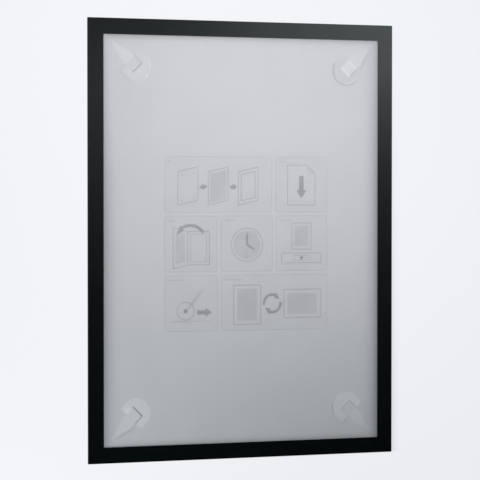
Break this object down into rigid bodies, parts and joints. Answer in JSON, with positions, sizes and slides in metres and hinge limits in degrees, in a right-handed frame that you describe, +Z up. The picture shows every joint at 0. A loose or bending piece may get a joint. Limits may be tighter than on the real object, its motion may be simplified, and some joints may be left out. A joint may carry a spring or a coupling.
{
  "type": "magnetic document frame",
  "caption": "Thin wall frame for a document sheet: a hinged black border with a clear window closes by magnet strips on a translucent grey rear film held by removable adhesive pads.",
  "frame": {"origin": "middle of the wall side, in the plane of the adhesive pads' wall faces", "axes": "+Z up along the long side, +Y into the wall, +X to the right seen from the front"},
  "size_m": [0.325, 0.0035, 0.445],
  "materials": {
    "border_black": "satin black film",
    "window_clear": "clear anti-glare film",
    "rear_film_grey": "translucent matt grey film",
    "magnet_rubber": "matt magnet-filled rubber",
    "hinge_film": "satin black film",
    "adhesive_gel": "milky adhesive gel",
    "release_block": "glossy elastic",
    "tab_film": "translucent film"
  },
  "bodies": {
    "rear_half": {"rear_film": "rear_film_grey", "rear_magnet_top": "magnet_rubber", "rear_magnet_bottom": "magnet_rubber", "rear_magnet_left": "magnet_rubber", "rear_magnet_right": "magnet_rubber", "hinge_leaf_rear": "hinge_film", "adhesive_pad_top_left": "adhesive_gel", "adhesive_pad_top_right": "adhesive_gel", "adhesive_pad_bottom_left": "adhesive_gel", "adhesive_pad_bottom_right": "adhesive_gel", "release_block_top_left": "release_block", "release_block_top_right": "release_block", "release_block_bottom_left": "release_block", "release_block_bottom_right": "release_block"},
    "front_half": {"front_border": "border_black", "window_film": "window_clear", "front_magnet_top": "magnet_rubber", "front_magnet_bottom": "magnet_rubber", "front_magnet_left": "magnet_rubber", "front_magnet_right": "magnet_rubber", "hinge_leaf_front": "hinge_film"},
    "tab_top_left": {"pull_tab_top_left": "tab_film"},
    "tab_top_right": {"pull_tab_top_right": "tab_film"},
    "tab_bottom_left": {"pull_tab_bottom_left": "tab_film"},
    "tab_bottom_right": {"pull_tab_bottom_right": "tab_film"}
  },
  "joints": [
    {"name": "front_hinge", "type": "hinge", "parent": "rear_half", "child": "front_half", "pos_m": [-0.1625, -0.00235, 0], "axis": [0, 0, -1], "range_deg": [0, 175]},
    {"name": "tab_top_left_bend", "type": "hinge", "parent": "rear_half", "child": "tab_top_left", "pos_m": [-0.11883, -0.0007, 0.18108], "axis": [-0.7071, 0, -0.7071], "range_deg": [0, 90], "stiffness_Nm_per_rad": 0.0002},
    {"name": "tab_top_right_bend", "type": "hinge", "parent": "rear_half", "child": "tab_top_right", "pos_m": [0.11883, -0.0007, 0.18108], "axis": [-0.7071, 0, 0.7071], "range_deg": [0, 90], "stiffness_Nm_per_rad": 0.0002},
    {"name": "tab_bottom_left_bend", "type": "hinge", "parent": "rear_half", "child": "tab_bottom_left", "pos_m": [-0.11883, -0.0007, -0.17933], "axis": [0.7071, 0, -0.7071], "range_deg": [0, 90], "stiffness_Nm_per_rad": 0.0002},
    {"name": "tab_bottom_right_bend", "type": "hinge", "parent": "rear_half", "child": "tab_bottom_right", "pos_m": [0.11883, -0.0007, -0.17933], "axis": [0.7071, 0, 0.7071], "range_deg": [0, 90], "stiffness_Nm_per_rad": 0.0002}
  ]
}
